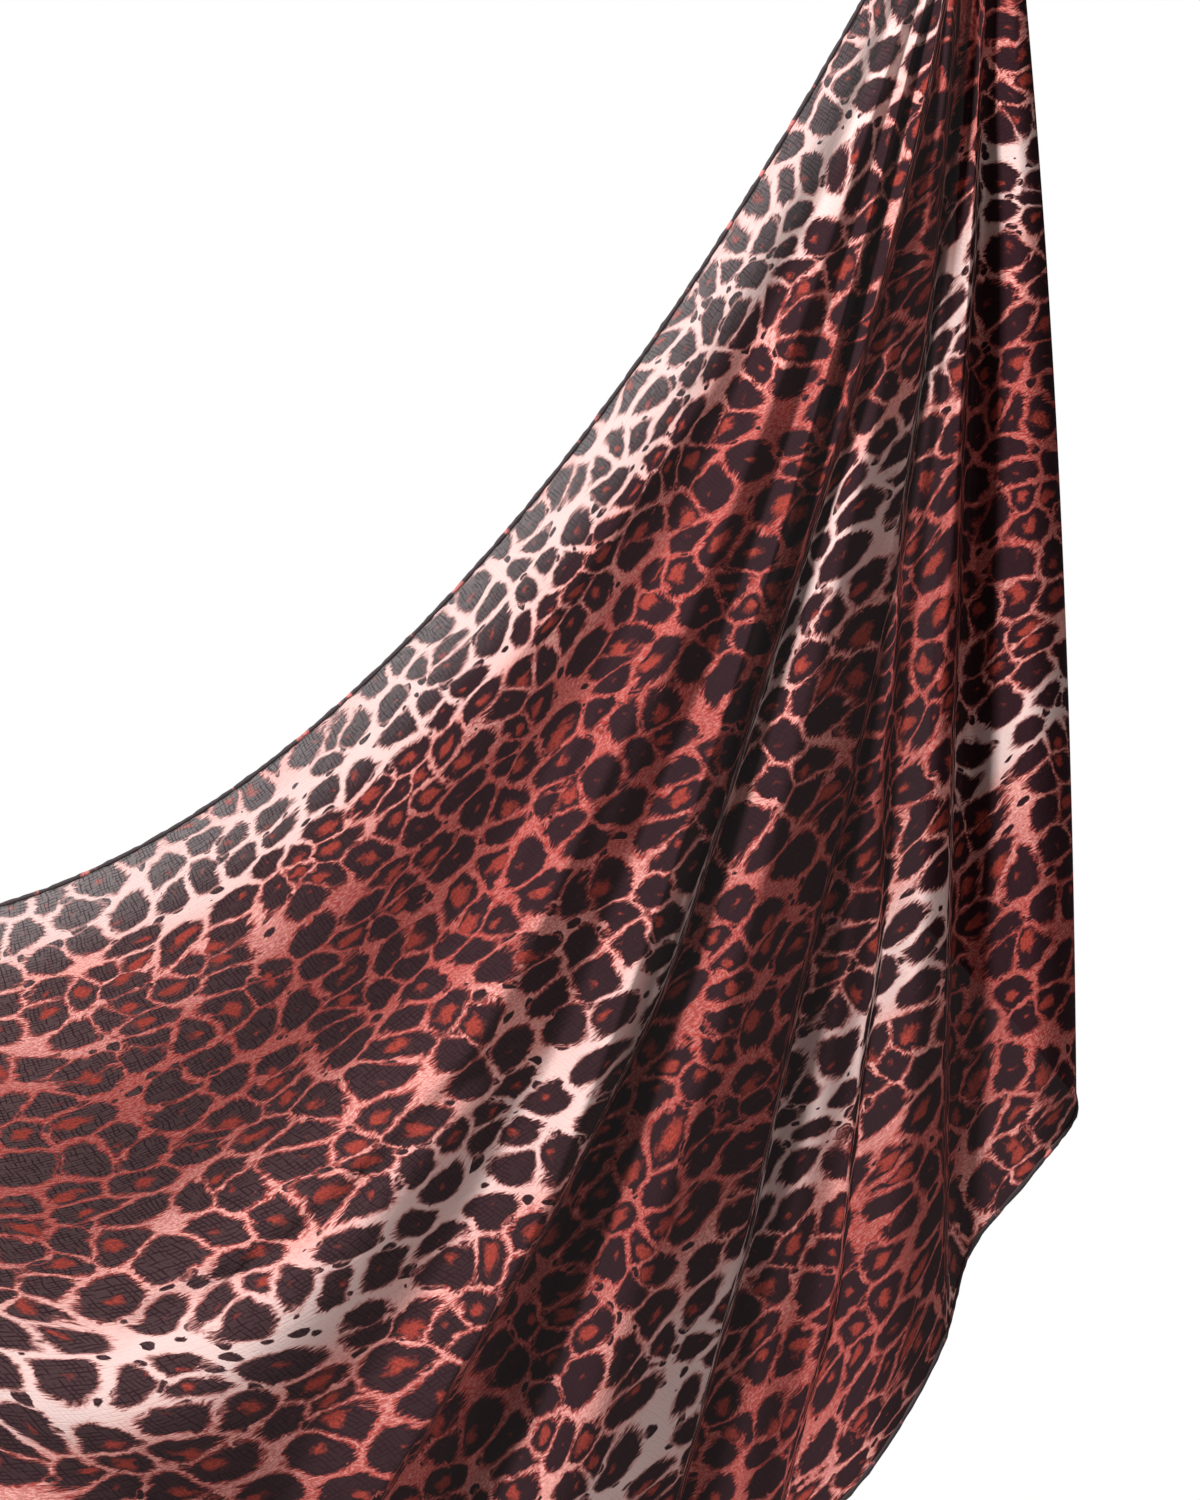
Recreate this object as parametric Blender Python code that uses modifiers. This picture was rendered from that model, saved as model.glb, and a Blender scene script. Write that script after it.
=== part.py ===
"""A sheer rectangular scarf, 1.80 m x 0.90 m, hung in a swag from two gathered points.

Metres, +Z up, +X to the right, the viewer at -Y. The origin is the right-hand gathered point. The left-hand one is
lower. Each fold line of the cloth is a strand: a curve from a gathered point down to the hem, or across to the other
gathered point. A panel is the smooth surface through its strands, which lie in turn towards the viewer (crests) and
away (valleys), and a panel's wall is that surface with Solidify.
"""
from collections import namedtuple

import bmesh
import bpy
from mathutils import Vector

# Driving dimensions
WALL = 0.0011            # thickness of the modelled cloth wall
PULL_IN = 0.0004         # how far a panel's edge is drawn back at a seam, so that the walls' gap is 0.3 mm or more
MOST_PULL_IN = 0.6       # and at most this share of the outer column
HEM_RADIUS = 0.0012      # rolled hem, about 2.4 mm across
HEM_GAP = 0.0006         # from a panel's edge to its hem
LEAST_SLANT = 0.2        # the sine of the smallest angle, between a strand and the edge, that the hem's gap allows for
HEM_START = 0.2          # share of a row by which a hem begins below its gathered point
LEFT_HOLD = Vector((-1.016, 0.0, -0.448))
LOWEST_X = -0.524        # where the deepest strand of the swag reaches the bottom hem
TUFT_ROWS = 3            # rows of cloth above each gathered point
TUFT_SPREAD = 0.9        # how much wider the tuft is at its top than where it is gathered
TUFT_DEEPER = 0.7        # and how much deeper its folds are
TUFT_LEAN = 0.012        # how far the tuft leans back
RIGHT_ROWS = 24          # rows from the right hold down to the hem
LEFT_ROWS = 18
COLUMNS = 3              # columns of faces between two strands
OPENING = 0.95           # how soon the folds open below a gathered point: depth goes as distance to this power
FULL_DEPTH_AT = 0.62     # distance from the gathered point at which a fold has its stated depth
MOST_OPEN = 1.15         # beyond this share of that distance a fold opens no further

# Strands of the swag, from the top edge down to the deepest valley. right_x and left_x place the strand in each
# gathered bunch, sag is how far its middle hangs below the straight line between the holds, low_x is where it passes
# from the right half to the left half, depth is towards (-) or away from (+) the viewer and tuft is the height of the
# cloth above the holds.
Swag = namedtuple("Swag", "name right_x left_x sag low_x depth pinch tuft")
SWAG = [
    Swag("top_edge", -0.0122, 0.0160, 0.3725, -0.650, 0.000, 0.0000, 0.046),
    Swag("upper_crest", -0.0106, 0.0144, 0.480, -0.640, -0.010, -0.0002, 0.054),
    Swag("crease", -0.0090, 0.0128, 0.610, -0.620, 0.010, 0.0002, 0.060),
    Swag("belly_crest", -0.0074, 0.0112, 0.710, -0.600, -0.018, -0.0003, 0.066),
    Swag("belly_valley", -0.0058, 0.0096, 0.815, -0.580, 0.010, 0.0003, 0.070),
    Swag("lower_crest", -0.0042, 0.0080, 0.925, -0.555, -0.024, -0.0004, 0.074),
    Swag("deep_valley", -0.0026, 0.0064, 0.995, -0.535, 0.028, 0.0006, 0.077),
    Swag("seam", -0.0008, 0.0046, 1.045, LOWEST_X, 0.004, 0.0000, 0.080),
]

# Strands that fan from a hold down to the hem: start_x in the gathered bunch, the bend point, the end on the hem, the
# depth where the fold is fully open, the depth in the gathered bunch, and the tuft's height.
Fan = namedtuple("Fan", "name start_x bend_x bend_z end_x end_z depth pinch tuft")
RIGHT_FAN = [
    Fan("crest_1", 0.0020, -0.078, -0.560, -0.300, -1.140, -0.034, -0.0014, 0.083),
    Fan("valley_1", 0.0043, -0.030, -0.470, -0.195, -1.064, 0.034, 0.0014, 0.085),
    Fan("rib", 0.0066, -0.026, -0.480, -0.155, -1.028, 0.012, -0.0006, 0.086),
    Fan("valley_2", 0.0089, -0.020, -0.480, -0.112, -0.992, 0.022, 0.0013, 0.084),
    Fan("crest_2", 0.0112, -0.017, -0.490, -0.066, -0.944, -0.015, -0.0014, 0.081),
    Fan("crest_2_edge", 0.0134, -0.011, -0.450, -0.020, -0.872, 0.006, 0.0000, 0.077),
    Fan("valley_3", 0.0156, -0.003, -0.390, -0.002, -0.818, 0.027, 0.0012, 0.072),
    Fan("flap_crest", 0.0180, 0.034, -0.355, 0.032, -0.768, -0.017, -0.0010, 0.064),
    Fan("right_fold", 0.0200, 0.056, -0.338, 0.059, -0.733, 0.010, 0.0020, 0.056),
]
RIGHT_RETURN = [
    Fan("back_1", 0.0186, 0.046, -0.330, 0.046, -0.708, 0.044, 0.0062, 0.050),
    Fan("back_2", 0.0136, 0.012, -0.300, 0.012, -0.668, 0.066, 0.0086, 0.043),
    Fan("right_end", 0.0080, -0.016, -0.280, -0.026, -0.628, 0.062, 0.0098, 0.036),
]
LEFT_FAN = [
    Fan("crest_4", 0.0020, 0.105, -0.580, 0.316, -0.815, -0.034, -0.0014, 0.083),
    Fan("valley_4", -0.0004, 0.065, -0.470, 0.205, -0.805, 0.032, 0.0014, 0.084),
    Fan("crest_5", -0.0028, 0.036, -0.430, 0.112, -0.798, -0.034, -0.0014, 0.082),
    Fan("valley_5", -0.0053, 0.008, -0.410, 0.030, -0.794, 0.034, 0.0014, 0.078),
    Fan("crest_6", -0.0078, -0.026, -0.400, -0.040, -0.796, -0.028, -0.0012, 0.070),
    Fan("left_fold", -0.0100, -0.054, -0.380, -0.082, -0.788, 0.006, 0.0018, 0.060),
]
LEFT_RETURN = [
    Fan("back_4", -0.0090, -0.044, -0.360, -0.062, -0.760, 0.042, 0.0060, 0.052),
    Fan("back_5", -0.0040, -0.012, -0.330, -0.020, -0.712, 0.062, 0.0084, 0.044),
    Fan("left_end", 0.0020, 0.014, -0.310, 0.018, -0.668, 0.060, 0.0096, 0.036),
]

# name: (base colour, roughness)
CLOTHS = {
    "swag": ((0.42, 0.20, 0.17, 1), 0.80),
    "right_pleats": ((0.30, 0.12, 0.10, 1), 0.80),
    "right_return": ((0.20, 0.08, 0.07, 1), 0.82),
    "left_pleats": ((0.33, 0.14, 0.12, 1), 0.80),
    "left_return": ((0.22, 0.09, 0.08, 1), 0.82),
    "hem": ((0.05, 0.03, 0.03, 1), 0.75),
}


def bezier(start, bend, end, t):
    return start * (1 - t) ** 2 + bend * 2 * t * (1 - t) + end * t * t


def evenly(curve, first, last, count, samples=200):
    """count + 1 points of a curve, from parameter first to last, at equal steps along its length."""
    fine = [curve(first + (last - first) * i / samples) for i in range(samples + 1)]
    reach = [0.0]
    for a, b in zip(fine, fine[1:]):
        reach.append(reach[-1] + (b - a).length)
    points, i = [], 0
    for step in range(count + 1):
        goal = reach[-1] * step / count
        while i < samples - 1 and reach[i + 1] < goal:
            i += 1
        share = (goal - reach[i]) / (reach[i + 1] - reach[i])
        points.append(fine[i].lerp(fine[i + 1], min(share, 1.0)))
    return points


def opened(distance):
    """How far a fold has opened, from 0 in the gathered bunch to about 1 where it hangs free."""
    return min(distance / FULL_DEPTH_AT, MOST_OPEN) ** OPENING


def tuft(hold_point, hold_x, height, pinch):
    """The cloth above a gathered point, from its top down."""
    rows = []
    for i in range(TUFT_ROWS, 0, -1):
        share = i / TUFT_ROWS
        across = (hold_point.x - hold_x) * (1 + TUFT_SPREAD * share)
        depth = pinch * (1 + TUFT_DEEPER * share) + TUFT_LEAN * share * share
        rows.append(Vector((hold_x + across, depth, hold_point.z + height * share)))
    return rows


def swag_strand(row):
    """The right part of a swag strand, from its tuft to low_x, and the left part, from its tuft to low_x."""
    start = Vector((row.right_x, 0, 0))
    end = LEFT_HOLD + Vector((row.left_x, 0, 0))
    middle = (start + end) / 2
    bend = middle - Vector((0, 0, 2 * row.sag))
    turn = (row.low_x - start.x) / (end.x - start.x)

    def curve(t):
        return bezier(start, bend, end, t)

    parts = []
    for first, count, hold in ((0.0, RIGHT_ROWS, Vector()), (1.0, LEFT_ROWS, LEFT_HOLD)):
        points = evenly(curve, first, turn, count)
        for p in points:
            near = opened(min((p - start).length, (p - end).length))
            p.y = row.pinch * max(0, 1 - near) + row.depth * near
        parts.append(tuft(points[0], hold.x, row.tuft, row.pinch) + points)
    return parts


def fan_strand(row, hold, count):
    start = hold + Vector((row.start_x, 0, 0))
    bend = hold + Vector((row.bend_x, 0, row.bend_z))
    end = hold + Vector((row.end_x, 0, row.end_z))
    points = evenly(lambda t: bezier(start, bend, end, t), 0.0, 1.0, count)
    for p in points:
        near = opened((p - start).length)
        p.y = row.pinch * max(0, 1 - near) + row.depth * near
    return tuft(points[0], hold.x, row.tuft, row.pinch) + points


def smooth_between(a, b, c, d, t):
    """Centripetal Catmull-Rom: a point between b and c, on the smooth curve through all four."""
    knots = [0.0]
    for p, q in ((a, b), (b, c), (c, d)):
        knots.append(knots[-1] + (q - p).length ** 0.5)
    at = knots[1] + (knots[2] - knots[1]) * t

    def mix(p, q, i, j):
        return p + (q - p) * ((at - knots[i]) / (knots[j] - knots[i]))

    ab, bc, cd = mix(a, b, 0, 1), mix(b, c, 1, 2), mix(c, d, 2, 3)
    return mix(mix(ab, bc, 0, 2), mix(bc, cd, 1, 3), 1, 2)


def across(strands, before=None, after=None, columns=COLUMNS):
    """Fills in the columns between strands. before and after are the neighbouring panels' strands, which set the
    slope at the seams, so that the cloth runs on smoothly."""
    first = before or [2 * p - q for p, q in zip(strands[0], strands[1])]
    last = after or [2 * p - q for p, q in zip(strands[-1], strands[-2])]
    line = [first] + strands + [last]
    grid = []
    for i in range(1, len(line) - 2):
        for step in range(columns):
            t = step / columns
            grid.append([smooth_between(a, b, c, d, t) for a, b, c, d in zip(*line[i - 1:i + 3])])
    grid.append(strands[-1])
    return grid


def pull_in(grid, at_start, at_end):
    """Draws the outer columns of a grid inwards, for the gap at a seam."""
    for edge, inner, wanted in ((0, 1, at_start), (-1, -2, at_end)):
        if wanted:
            grid[edge] = [p + (q - p).normalized() * min(PULL_IN, (q - p).length * MOST_PULL_IN)
                          for p, q in zip(grid[edge], grid[inner])]
    return grid


def colour(name):
    material = bpy.data.materials.get(name)
    if material is None:
        material = bpy.data.materials.new(name)
        material.use_nodes = True
        shader = material.node_tree.nodes["Principled BSDF"]
        tone, rough = CLOTHS[name]
        shader.inputs["Base Color"].default_value = tone
        shader.inputs["Roughness"].default_value = rough
        material.diffuse_color = tone
    return material


def wall(name, grid, collection):
    """A panel: the open surface through a grid of points, thickened to a wall."""
    shape = bmesh.new()
    points = [[shape.verts.new(p) for p in column] for column in grid]
    for left, right in zip(points, points[1:]):
        for a, b, c, d in zip(left, right, right[1:], left[1:]):
            shape.faces.new((a, b, c, d))
    mesh = bpy.data.meshes.new(name)
    shape.to_mesh(mesh)
    shape.free()
    mesh.shade_smooth()
    panel = bpy.data.objects.new(name, mesh)
    panel.data.materials.append(colour(name))
    thick = panel.modifiers.new("Wall", "SOLIDIFY")
    thick.thickness = WALL
    thick.offset = 0
    thick.use_even_offset = True
    collection.objects.link(panel)
    return panel


def beside(edge, inner):
    """The centre line of a hem: each point runs on past a panel's edge in line with its strand, to the hem's distance
    from the edge measured square to it."""
    line = []
    for i, (p, q) in enumerate(zip(edge, inner)):
        out = (p - q).normalized()
        sides = [(p - edge[i - 1]).normalized()] if i else []
        sides += [(edge[i + 1] - p).normalized()] if i < len(edge) - 1 else []
        square = min((out - side * out.dot(side)).length for side in sides)
        line.append(p + out * (HEM_RADIUS + HEM_GAP) / max(square, LEAST_SLANT))
    return line


def from_hold(line, ends):
    """Starts a hem's line a little below the gathered point, at its first point or at both ends."""
    line[0] = line[0].lerp(line[1], HEM_START)
    if ends == 2:
        line[-1] = line[-1].lerp(line[-2], HEM_START)
    return line


def hem(name, centre_line, collection):
    """A rolled hem: a slim round edge that follows the cloth."""
    curve = bpy.data.curves.new(name, "CURVE")
    curve.dimensions = "3D"
    curve.bevel_depth = HEM_RADIUS
    curve.bevel_resolution = 1
    curve.use_fill_caps = True
    spline = curve.splines.new("POLY")
    spline.points.add(len(centre_line) - 1)
    for point, place in zip(spline.points, centre_line):
        point.co = (*place, 1)
    roll = bpy.data.objects.new(name, curve)
    roll.data.materials.append(colour("hem"))
    collection.objects.link(roll)
    return roll


def main():
    for old in list(bpy.data.objects):
        bpy.data.objects.remove(old)
    scarf = bpy.data.collections.new("Scarf")
    bpy.context.scene.collection.children.link(scarf)

    swag_parts = [swag_strand(row) for row in SWAG]
    right_half = [right for right, left in swag_parts]
    left_half = [left for right, left in swag_parts]
    whole = [right + left[-2::-1] for right, left in swag_parts]
    right_fan = [fan_strand(row, Vector(), RIGHT_ROWS) for row in RIGHT_FAN]
    right_back = [fan_strand(row, Vector(), RIGHT_ROWS) for row in RIGHT_RETURN]
    left_fan = [fan_strand(row, LEFT_HOLD, LEFT_ROWS) for row in LEFT_FAN]
    left_back = [fan_strand(row, LEFT_HOLD, LEFT_ROWS) for row in LEFT_RETURN]

    beyond = right_fan[0] + left_fan[0][-2::-1]
    swag = across(whole, after=beyond)
    right_pleats = across([right_half[-1]] + right_fan, right_half[-2], right_back[0])
    right_return = across([right_fan[-1]] + right_back, right_fan[-2])
    left_pleats = across([left_half[-1]] + left_fan, left_half[-2], left_back[0])
    left_return = across([left_fan[-1]] + left_back, left_fan[-2])

    wall("swag", pull_in(swag, False, True), scarf)
    wall("right_pleats", pull_in(right_pleats, True, True), scarf)
    wall("right_return", pull_in(right_return, True, False), scarf)
    wall("left_pleats", pull_in(left_pleats, True, True)[::-1], scarf)
    wall("left_return", pull_in(left_return, True, False)[::-1], scarf)

    top = TUFT_ROWS
    hem("top_hem", from_hold(beside(swag[0], swag[1])[top:-top], 2), scarf)
    hem("right_end_hem", from_hold(beside(right_return[-1], right_return[-2])[top:], 1), scarf)
    hem("left_end_hem", from_hold(beside(left_return[-1], left_return[-2])[top:], 1), scarf)
    left_columns = left_return[:0:-1] + left_pleats[-2:0:-1]
    right_columns = right_pleats[1:-1] + right_return[1:]
    low = len(right_half[-1]) - 1
    edge = [c[-1] for c in left_columns] + [swag[-1][low]] + [c[-1] for c in right_columns]
    inner = [c[-2] for c in left_columns] + [swag[-2][low]] + [c[-2] for c in right_columns]
    hem("bottom_hem", beside(edge, inner), scarf)


main()
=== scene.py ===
"""The looks of the hung scarf: one thin sheet of sheer crinkled cloth with an animal print, and its hem.

Metres, in the frame of the CAD model: the origin is the right-hand gathered point, +Z is up and the viewer is
at -Y. The sheet runs over strands, as the solids do: curves from a gathered point to the hem, or to the other
gathered point.
"""
from collections import namedtuple

import bpy
import numpy as np
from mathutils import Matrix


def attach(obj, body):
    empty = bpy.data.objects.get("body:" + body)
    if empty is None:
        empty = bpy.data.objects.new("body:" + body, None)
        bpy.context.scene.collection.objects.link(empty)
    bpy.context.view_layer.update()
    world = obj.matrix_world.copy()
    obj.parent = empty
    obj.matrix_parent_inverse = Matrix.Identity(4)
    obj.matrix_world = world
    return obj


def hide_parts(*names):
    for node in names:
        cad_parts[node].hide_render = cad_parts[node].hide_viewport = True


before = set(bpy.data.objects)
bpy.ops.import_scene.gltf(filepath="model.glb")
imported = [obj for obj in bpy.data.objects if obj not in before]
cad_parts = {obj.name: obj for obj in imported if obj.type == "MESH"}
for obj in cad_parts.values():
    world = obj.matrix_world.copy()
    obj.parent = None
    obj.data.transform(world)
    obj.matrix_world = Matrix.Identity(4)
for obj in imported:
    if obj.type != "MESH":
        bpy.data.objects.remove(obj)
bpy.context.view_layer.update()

# The cloth and its two gathered points
RIGHT_HOLD = np.zeros(3)
LEFT_HOLD = np.array((-1.016, 0.0, -0.448))
LOWEST_X = -0.524        # where the deepest strand of the swag reaches the bottom hem
TUFT_SPREAD = 0.9        # how much wider the tuft above a gathered point is at its top
TUFT_DEEPER = 0.7        # and how much deeper its folds are
TUFT_LEAN = 0.012        # how far the tuft leans back
OPENING = 0.95           # how soon the folds open below it: depth goes as distance to this power
FULL_DEPTH_AT = 0.62     # distance from the gathered point at which a fold has its stated depth
MOST_OPEN = 1.15         # beyond this share of that distance a fold opens no further

# Mesh
TUFT_ROWS = 12
RIGHT_ROWS = 270
LEFT_ROWS = 110
SWAG_COLUMNS = 13        # columns of faces between two strands
PLEAT_COLUMNS = 14
RETURN_COLUMNS = 7
LEFT_COLUMNS = 9
STRAND_SAMPLES = 800     # close points along a strand's curve, before it is cut into even steps
WELD_GRID = 1e6          # points that agree to a micrometre are one
CHUNK = 4000             # points worked on at a time

# Hem
HEM_RADIUS = 0.0013
HEM_SIDES = 8
HEM_LUMPS = 0.22         # share by which it is thicker and thinner
HEM_KNOTS = 0.12         # and by its finer knots
LUMP_RATE, LUMP_DRIFT, KNOT_RATE = 310, 97, 730          # radians a metre
HEM_WAVE = 0.0006        # how far it wanders from the cloth's edge
WAVE_RATE, WAVE_DRIFT = 260, 41

# Creases
CREASE_SAMPLES = 160
CREASE_ROUNDS = 40       # rounds of smoothing of a crease's line
STEP_WIDTH = 0.0016      # how sharply a step falls back
CREASE_REACH = 3.5       # a crease is felt this many widths away
PAST_END = 0.004         # and this far past its ends

# Where the print lies on the cloth
APEX_RISE = 0.040        # its fold lines meet this far above a gathered point
RIGHT_APEX = RIGHT_HOLD + (0, 0, APEX_RISE)
LEFT_APEX = LEFT_HOLD + (0, 0, APEX_RISE)
LEFT_FROM_EDGE = 0.03    # how far from the long edge the swag's last strand passes the left gathered point
SQUARE_TO = 0.26         # the print is turned square to the long edge, less and less down to this depth
MOST_SQUEEZE = 1.12      # how much it may be squeezed: the creases swallow what is over
HIDE_WIDTH = 0.024       # how far off a crease takes that from, mostly
HIDE_REACH = 0.100       # and at most
HIDE_FADE = 0.060        # how far from its ends it takes its full part
LEFT_ALONE = 0.03        # the part that no crease takes, beside a crease's 1
SHARE_ROUNDS = 8         # rounds of smoothing, down the cloth, of how much each crease takes
SKIP_WIDTH = 0.0015      # how sharply the print skips at a crease

# The sheer part
SHEER_WIDE = 0.048       # how far it reaches from the long edge
SHEER_FROM = 0.30        # and how far from a gathered point it is at its full

# angle and from_edge say where a strand runs in the flat cloth: its angle from the cloth's short side, and
# how far from the long edge it passes the gathered point. lean is the angle at which it moves along the long
# edge, where that is another one, and aside is how far along it starts. The rest is as in the solids.
FOLD = " depth pinch tuft angle from_edge lean aside"
Swag = namedtuple("Swag", "name right_x left_x sag low_x" + FOLD, defaults=(None, 0.0))
Fan = namedtuple("Fan", "name start_x bend_x bend_z end_x end_z" + FOLD, defaults=(None, 0.0))
SWAG = [
    Swag("top_edge", -0.0122, 0.0160, 0.3725, -0.650, 0.000, 0.0000, 0.046, 90.0, 0.000),
    Swag("upper_crest", -0.0106, 0.0144, 0.480, -0.640, -0.010, -0.0002, 0.054, 82.5, 0.016),
    Swag("crease", -0.0090, 0.0128, 0.610, -0.620, 0.010, 0.0002, 0.060, 75.0, 0.031),
    Swag("belly_crest", -0.0074, 0.0112, 0.710, -0.600, -0.018, -0.0003, 0.066, 71.9, 0.036),
    Swag("belly_valley", -0.0058, 0.0096, 0.815, -0.580, 0.010, 0.0003, 0.070, 68.7, 0.042),
    Swag("lower_crest", -0.0042, 0.0080, 0.925, -0.555, -0.024, -0.0004, 0.074, 66.5, 0.043),
    Swag("deep_valley", -0.0026, 0.0064, 0.995, -0.535, 0.028, 0.0006, 0.077, 64.0, 0.047),
    Swag("seam", -0.0008, 0.0046, 1.045, LOWEST_X, 0.004, 0.0000, 0.080, 62.0, 0.050),
]
RIGHT_FAN = [
    Fan("crest_1", 0.0020, -0.078, -0.560, -0.300, -1.140, -0.034, -0.0014, 0.083, 58.5, 0.072, 59.4),
    Fan("valley_1", 0.0043, -0.030, -0.470, -0.195, -1.064, 0.034, 0.0014, 0.085, 50.1, 0.111, 55.9),
    Fan("rib", 0.0066, -0.026, -0.480, -0.155, -1.028, 0.012, -0.0006, 0.086, 48.6, 0.123, 54.6),
    Fan("valley_2", 0.0089, -0.020, -0.480, -0.112, -0.992, 0.022, 0.0013, 0.084, 46.7, 0.132, 53.2),
    Fan("crest_2", 0.0112, -0.017, -0.490, -0.066, -0.944, -0.015, -0.0014, 0.081, 43.0, 0.132, 51.7),
    Fan("crest_2_edge", 0.0134, -0.011, -0.450, -0.020, -0.872, 0.006, 0.0000, 0.077, 36.4, 0.124, 50.0),
    Fan("valley_3", 0.0156, -0.003, -0.390, -0.002, -0.818, 0.027, 0.0012, 0.072, 31.8, 0.122, 42.0, -0.004),
    Fan("flap_crest", 0.018, 0.034, -0.355, 0.032, -0.768, -0.017, -0.0010, 0.064, 16.0, 0.104, 38.5, -0.016),
    Fan("right_fold", 0.0200, 0.056, -0.338, 0.059, -0.733, 0.010, 0.0020, 0.056, 6.0, 0.111, 36.0, -0.032),
]
RIGHT_RETURN = [
    Fan("back_1", 0.0186, 0.046, -0.330, 0.046, -0.708, 0.044, 0.0062, 0.050, 1.0, 0.145, 34.0, -0.036),
    Fan("back_2", 0.0136, 0.012, -0.300, 0.012, -0.668, 0.066, 0.0086, 0.043, -4.0, 0.193, 32.0, -0.046),
    Fan("right_end", 0.0080, -0.016, -0.280, -0.026, -0.628, 0.062, 0.0098, 0.036, -9.0, 0.237, 30.0, -0.054),
]
LEFT_FAN = [
    Fan("crest_4", 0.0020, 0.105, -0.580, 0.316, -0.815, -0.034, -0.0014, 0.083, 38.0, 0.130),
    Fan("valley_4", -0.0004, 0.065, -0.470, 0.205, -0.805, 0.032, 0.0014, 0.084, 30.0, 0.125),
    Fan("crest_5", -0.0028, 0.036, -0.430, 0.112, -0.798, -0.034, -0.0014, 0.082, 23.0, 0.110),
    Fan("valley_5", -0.0053, 0.008, -0.410, 0.030, -0.794, 0.034, 0.0014, 0.078, 16.0, 0.090),
    Fan("crest_6", -0.0078, -0.026, -0.400, -0.040, -0.796, -0.028, -0.0012, 0.070, 9.0, 0.075),
    Fan("left_fold", -0.0100, -0.054, -0.380, -0.082, -0.788, 0.006, 0.0018, 0.060, 3.0, 0.075),
]
LEFT_RETURN = [
    Fan("back_4", -0.0090, -0.044, -0.360, -0.062, -0.760, 0.042, 0.0060, 0.052, -2.0, 0.105),
    Fan("back_5", -0.0040, -0.012, -0.330, -0.020, -0.712, 0.062, 0.0084, 0.044, -7.0, 0.155),
    Fan("left_end", 0.0020, 0.014, -0.310, 0.018, -0.668, 0.060, 0.0096, 0.036, -12.0, 0.205),
]

# Creases of the front, each along a line of (x, z) places. A ridge or a trough stands towards the viewer by
# its height, which is negative in a trough. A step stands out on its left by height and falls back as far on
# its right. near and far are its widths on the left and on the right, and fade is how far it takes to grow
# from each end. hides is how readily it swallows cloth, where the print skips.
Crease = namedtuple("Crease", "name kind line height near far fade hides", defaults=(0.0,))
CREASES = [
    Crease("a_edge", "step", ((-0.004, -0.020), (-0.018, -0.100), (-0.029, -0.166), (-0.065, -0.309),
                              (-0.120, -0.487), (-0.178, -0.670), (-0.246, -0.802), (-0.329, -0.943),
                              (-0.420, -1.050)), 0.015, 0.034, 0.030, 0.22, 1.0),
    Crease("b_upper", "step", ((-0.002, -0.020), (-0.010, -0.098), (-0.023, -0.264), (-0.041, -0.395),
                               (-0.047, -0.521)), 0.010, 0.010, 0.010, 0.16, 1.0),
    Crease("b_edge", "step", ((-0.052, -0.464), (-0.074, -0.567), (-0.100, -0.670), (-0.129, -0.814),
                              (-0.166, -0.945), (-0.190, -1.040)), 0.012, 0.026, 0.022, 0.12, 1.0),
    Crease("b_second", "step", ((-0.050, -0.500), (-0.053, -0.642), (-0.066, -0.728), (-0.078, -0.842),
                                (-0.106, -0.945)), 0.006, 0.014, 0.014, 0.10, 0.8),
    Crease("c_edge", "step", ((0.004, -0.080), (0.001, -0.240), (-0.006, -0.320), (-0.009, -0.441),
                              (-0.0126, -0.527), (-0.0143, -0.642), (-0.017, -0.733), (-0.016, -0.800)),
           0.011, 0.018, 0.034, 0.20, 1.0),
    Crease("thin_pleat", "ridge", ((-0.011, -0.090), (-0.017, -0.155), (-0.023, -0.195), (-0.029, -0.241),
                                   (-0.037, -0.310)), 0.008, 0.004, 0.004, 0.08),
    Crease("d_ridge", "ridge", ((-0.088, -0.214), (-0.132, -0.327), (-0.169, -0.418), (-0.214, -0.499),
                                (-0.238, -0.540), (-0.258, -0.586), (-0.289, -0.639), (-0.330, -0.681)),
           0.006, 0.004, 0.006, 0.14),
    Crease("d_second", "ridge", ((-0.110, -0.250), (-0.148, -0.316), (-0.186, -0.372), (-0.236, -0.439),
                                 (-0.267, -0.480), (-0.312, -0.540)), 0.004, 0.004, 0.005, 0.14),
    Crease("e_trough", "trough", ((-0.158, -0.407), (-0.189, -0.510), (-0.215, -0.567), (-0.238, -0.625),
                                  (-0.269, -0.693), (-0.329, -0.751), (-0.370, -0.791), (-0.444, -0.842),
                                  (-0.559, -0.871)), -0.008, 0.006, 0.010, 0.16),
    Crease("low_trough", "trough", ((-0.620, -0.928), (-0.500, -0.950), (-0.400, -0.976), (-0.320, -1.000)),
           -0.020, 0.030, 0.030, 0.05),
    Crease("pinch_1", "trough", ((-0.494, -0.868), (-0.457, -0.849)), -0.006, 0.005, 0.006, 0.016),
    Crease("pinch_2", "trough", ((-0.442, -0.837), (-0.400, -0.820)), -0.006, 0.005, 0.006, 0.016),
    Crease("pinch_3", "trough", ((-0.405, -0.816), (-0.374, -0.797)), -0.005, 0.005, 0.006, 0.014),
    Crease("pinch_4", "trough", ((-0.371, -0.796), (-0.340, -0.776)), -0.006, 0.005, 0.006, 0.014),
    Crease("pinch_5", "trough", ((-0.362, -0.776), (-0.329, -0.763)), -0.005, 0.004, 0.005, 0.014),
]


def bezier(start, bend, end, t):
    t = t[:, None]
    return start * (1 - t) ** 2 + bend * 2 * t * (1 - t) + end * t * t


def distance_along(points):
    """How far along a line each of its points is."""
    return np.concatenate(([0.0], np.cumsum(np.linalg.norm(np.diff(points, axis=0), axis=1))))


def unit(vectors):
    return vectors / np.linalg.norm(vectors, axis=-1, keepdims=True)


def evenly(points, count):
    """count + 1 points at equal steps along a line of close points."""
    reach = distance_along(points)
    goals = np.linspace(0.0, reach[-1], count + 1)
    return np.column_stack([np.interp(goals, reach, points[:, axis]) for axis in range(3)])


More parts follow.
